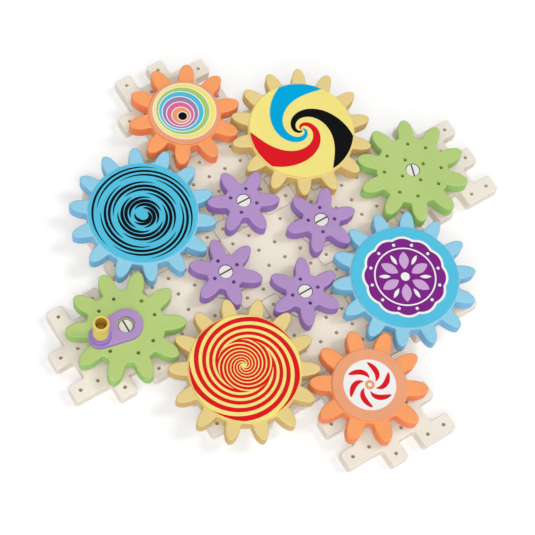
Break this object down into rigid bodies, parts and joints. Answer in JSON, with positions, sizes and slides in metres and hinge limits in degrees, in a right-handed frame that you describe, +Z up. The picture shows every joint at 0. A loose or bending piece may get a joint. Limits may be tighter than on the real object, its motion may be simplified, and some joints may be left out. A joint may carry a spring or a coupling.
{
  "type": "crank gear toy",
  "caption": "Interlocking peg plates that carry meshing toy gears in bright colours, some with spiral or ring discs, all turned by a hand crank with a spinning knob.",
  "frame": {"origin": "centre of the middle plate's underside, on the surface that the toy lies on", "axes": "+Z up, out of the plates and along every gear axis; -X towards the crank gear"},
  "size_m": [0.3898, 0.3898, 0.0576],
  "materials": {
    "cream_plate": "smooth satin moulded plastic with soft edges",
    "pale_hub": "pale grey moulded plastic",
    "white_screw": "smooth moulded plastic",
    "orange_gear": "smooth satin moulded plastic",
    "yellow_gear": "smooth satin moulded plastic",
    "blue_gear": "smooth satin moulded plastic",
    "green_gear": "smooth satin moulded plastic",
    "purple_gear": "smooth satin moulded plastic",
    "orange_disc": "smooth satin moulded plastic",
    "yellow_disc": "smooth satin moulded plastic",
    "cyan_disc": "smooth satin moulded plastic",
    "yellow_knob": "smooth satin moulded plastic",
    "knob_rivet": "smooth moulded plastic",
    "red_print": "satin printed ink",
    "blue_print": "satin printed ink",
    "black_print": "satin printed ink",
    "white_print": "satin printed ink",
    "purple_print": "satin printed ink",
    "lilac_print": "satin printed ink",
    "lemon_print": "satin printed ink",
    "green_print": "satin printed ink",
    "sky_print": "satin printed ink",
    "violet_print": "satin printed ink",
    "pink_print": "satin printed ink",
    "orange_print": "satin printed ink"
  },
  "bodies": {
    "base": {"base_plate_01": "cream_plate", "base_plate_02": "cream_plate", "base_plate_03": "cream_plate", "base_plate_04": "cream_plate", "base_plate_05": "cream_plate", "base_plate_06": "cream_plate", "base_plate_07": "cream_plate", "base_plate_08": "cream_plate", "base_plate_09": "cream_plate", "base_plate_10": "cream_plate", "base_plate_11": "cream_plate", "base_plate_12": "cream_plate", "base_plate_13": "cream_plate", "hub_blue_back_left": "pale_hub", "screw_blue_back_left": "white_screw", "hub_yellow_back_right": "pale_hub", "screw_yellow_back_right": "white_screw", "hub_blue_front_right": "pale_hub", "screw_blue_front_right": "white_screw", "hub_yellow_front_left": "pale_hub", "screw_yellow_front_left": "white_screw", "hub_orange_back": "pale_hub", "screw_orange_back": "white_screw", "hub_green_right": "pale_hub", "screw_green_right": "white_screw", "hub_orange_front": "pale_hub", "screw_orange_front": "white_screw", "hub_crank": "pale_hub", "screw_crank": "white_screw", "hub_purple_back": "pale_hub", "screw_purple_back": "white_screw", "hub_purple_right": "pale_hub", "screw_purple_right": "white_screw", "hub_purple_front": "pale_hub", "screw_purple_front": "white_screw", "hub_purple_left": "pale_hub", "screw_purple_left": "white_screw"},
    "blue_back_left_gear": {"gear_blue_back_left": "blue_gear", "disc_blue_back_left": "cyan_disc"},
    "yellow_back_right_gear": {"gear_yellow_back_right": "yellow_gear", "disc_yellow_back_right": "yellow_disc"},
    "blue_front_right_gear": {"gear_blue_front_right": "blue_gear", "disc_blue_front_right": "cyan_disc"},
    "yellow_front_left_gear": {"gear_yellow_front_left": "yellow_gear", "disc_yellow_front_left": "yellow_disc"},
    "orange_back_gear": {"gear_orange_back": "orange_gear", "disc_orange_back": "orange_disc"},
    "green_right_gear": {"gear_green_right": "green_gear"},
    "orange_front_gear": {"gear_orange_front": "orange_gear", "disc_orange_front": "orange_disc"},
    "crank_gear": {"gear_crank": "green_gear", "crank_arm": "purple_gear", "knob_rivet": "knob_rivet"},
    "purple_back_gear": {"gear_purple_back": "purple_gear"},
    "purple_right_gear": {"gear_purple_right": "purple_gear"},
    "purple_front_gear": {"gear_purple_front": "purple_gear"},
    "purple_left_gear": {"gear_purple_left": "purple_gear"},
    "crank_knob": {"crank_knob": "yellow_knob"}
  },
  "joints": [
    {"name": "crank_turn", "type": "hinge", "parent": "base", "child": "crank_gear", "pos_m": [-0.135, 0, 0.0268], "axis": [0, 0, 1], "continuous": true},
    {"name": "blue_back_left_spin", "type": "hinge", "parent": "base", "child": "blue_back_left_gear", "pos_m": [-0.075, 0.075, 0.0268], "axis": [0, 0, 1], "continuous": true},
    {"name": "yellow_back_right_spin", "type": "hinge", "parent": "base", "child": "yellow_back_right_gear", "pos_m": [0.075, 0.075, 0.0268], "axis": [0, 0, 1], "continuous": true},
    {"name": "blue_front_right_spin", "type": "hinge", "parent": "base", "child": "blue_front_right_gear", "pos_m": [0.075, -0.075, 0.0268], "axis": [0, 0, 1], "continuous": true},
    {"name": "yellow_front_left_spin", "type": "hinge", "parent": "base", "child": "yellow_front_left_gear", "pos_m": [-0.075, -0.075, 0.0268], "axis": [0, 0, 1], "continuous": true},
    {"name": "orange_back_spin", "type": "hinge", "parent": "base", "child": "orange_back_gear", "pos_m": [0, 0.135, 0.0268], "axis": [0, 0, 1], "continuous": true},
    {"name": "green_right_spin", "type": "hinge", "parent": "base", "child": "green_right_gear", "pos_m": [0.135, 0, 0.0268], "axis": [0, 0, 1], "continuous": true},
    {"name": "orange_front_spin", "type": "hinge", "parent": "base", "child": "orange_front_gear", "pos_m": [0, -0.135, 0.0268], "axis": [0, 0, 1], "continuous": true},
    {"name": "purple_back_spin", "type": "hinge", "parent": "base", "child": "purple_back_gear", "pos_m": [0, 0.045, 0.0268], "axis": [0, 0, 1], "continuous": true},
    {"name": "purple_right_spin", "type": "hinge", "parent": "base", "child": "purple_right_gear", "pos_m": [0.045, 0, 0.0268], "axis": [0, 0, 1], "continuous": true},
    {"name": "purple_front_spin", "type": "hinge", "parent": "base", "child": "purple_front_gear", "pos_m": [0, -0.045, 0.0268], "axis": [0, 0, 1], "continuous": true},
    {"name": "purple_left_spin", "type": "hinge", "parent": "base", "child": "purple_left_gear", "pos_m": [-0.045, 0, 0.0268], "axis": [0, 0, 1], "continuous": true},
    {"name": "knob_spin", "type": "hinge", "parent": "crank_gear", "child": "crank_knob", "pos_m": [-0.15672, 0.00114, 0.0371], "axis": [0, 0, 1], "continuous": true}
  ],
  "couplings": [
    {"joint": "blue_back_left_spin", "follows": "crank_turn", "ratio": -0.71429},
    {"joint": "yellow_back_right_spin", "follows": "crank_turn", "ratio": -0.71429},
    {"joint": "blue_front_right_spin", "follows": "crank_turn", "ratio": -0.71429},
    {"joint": "yellow_front_left_spin", "follows": "crank_turn", "ratio": -0.71429},
    {"joint": "orange_back_spin", "follows": "crank_turn", "ratio": 1},
    {"joint": "green_right_spin", "follows": "crank_turn", "ratio": 1},
    {"joint": "orange_front_spin", "follows": "crank_turn", "ratio": 1},
    {"joint": "purple_back_spin", "follows": "crank_turn", "ratio": 1.6667},
    {"joint": "purple_right_spin", "follows": "crank_turn", "ratio": 1.6667},
    {"joint": "purple_front_spin", "follows": "crank_turn", "ratio": 1.6667},
    {"joint": "purple_left_spin", "follows": "crank_turn", "ratio": 1.6667}
  ]
}
